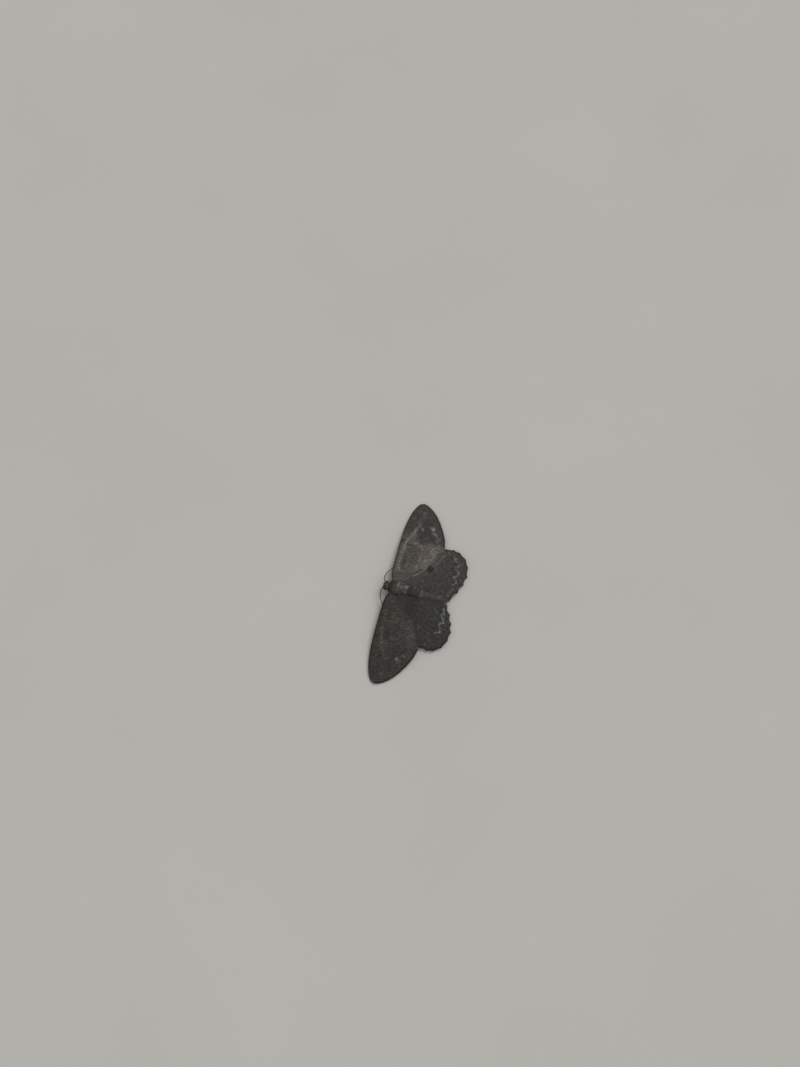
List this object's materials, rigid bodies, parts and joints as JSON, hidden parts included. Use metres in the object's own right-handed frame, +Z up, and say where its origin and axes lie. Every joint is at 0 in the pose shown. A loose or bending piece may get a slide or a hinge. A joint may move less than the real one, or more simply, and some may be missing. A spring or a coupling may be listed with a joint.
{
  "type": "geometrid moth",
  "caption": "Slender-bodied looper moth at rest with its wings spread flat, scalloped hindwings, and feelers swept back under the wings.",
  "frame": {"origin": "middle of the footprint, on the surface that the feet stand on", "axes": "head towards -Y, the moth's left side towards +X, +Z up from the surface"},
  "size_m": [0.044, 0.0186, 0.0034],
  "materials": {
    "wing": "matt scales",
    "body": "matt scales",
    "limb": "matt scales",
    "eye": "glossy"
  },
  "bodies": {
    "root": {"head": "body", "thorax": "body", "abdomen": "body", "palp_left": "body", "palp_right": "body", "proboscis": "limb", "eye_left": "eye", "eye_right": "eye", "antenna_left": "limb", "antenna_right": "limb", "forewing_left": "wing", "forewing_right": "wing", "hindwing_left": "wing", "hindwing_right": "wing", "foreleg_left": "limb", "foreleg_right": "limb", "midleg_left": "limb", "midleg_right": "limb", "hindleg_left": "limb", "hindleg_right": "limb"}
  },
  "joints": []
}
